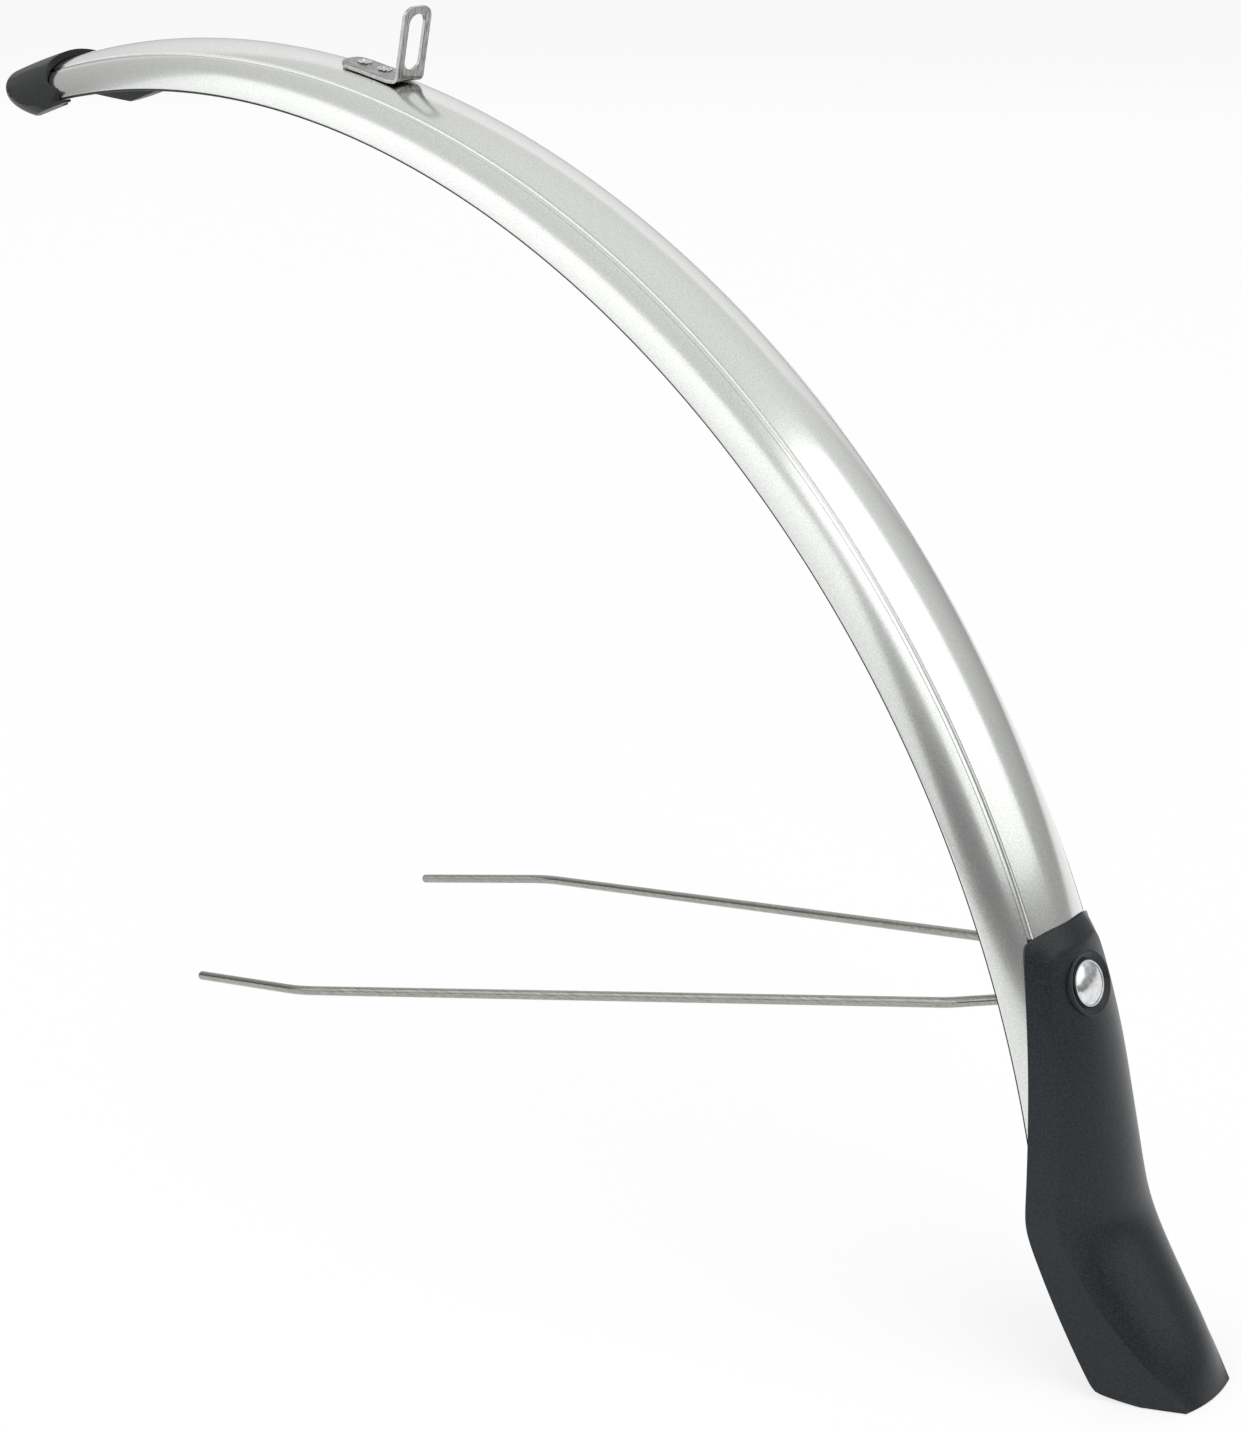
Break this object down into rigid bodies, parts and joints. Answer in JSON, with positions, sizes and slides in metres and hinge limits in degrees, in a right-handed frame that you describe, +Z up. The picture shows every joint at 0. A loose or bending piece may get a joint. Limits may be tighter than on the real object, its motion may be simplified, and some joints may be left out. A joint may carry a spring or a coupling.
{
  "type": "bicycle mudguard",
  "caption": "Silver bowed bicycle front mudguard with pressed grooves, a black tip cap, a slotted fork bracket, a bent wire stay and a kinked black mud flap.",
  "frame": {"origin": "centre of the bolt slot in the fork bracket's upright", "axes": "+Z up and +X to the rear as the guard sits on a bicycle, +Y to the rider's right; the XZ plane is the plane of symmetry"},
  "size_m": [0.5274, 0.1266, 0.3751],
  "materials": {
    "silver_sheet": "glossy silver with a fine grain",
    "cap_plastic": "satin black with a fine texture",
    "zinc_plate": "zinc plated steel",
    "stay_steel": "bright drawn steel wire",
    "flap_plastic": "matte black with a fine grain",
    "bright_badge": "plain bright dome"
  },
  "bodies": {
    "root": {"guard_blade": "silver_sheet", "front_tip_cap": "cap_plastic", "fork_bracket": "zinc_plate", "bracket_rivets": "zinc_plate", "stay_wire": "stay_steel", "stay_eye": "zinc_plate", "stay_screw": "zinc_plate", "mud_flap": "flap_plastic", "flap_badge": "bright_badge"}
  },
  "joints": []
}
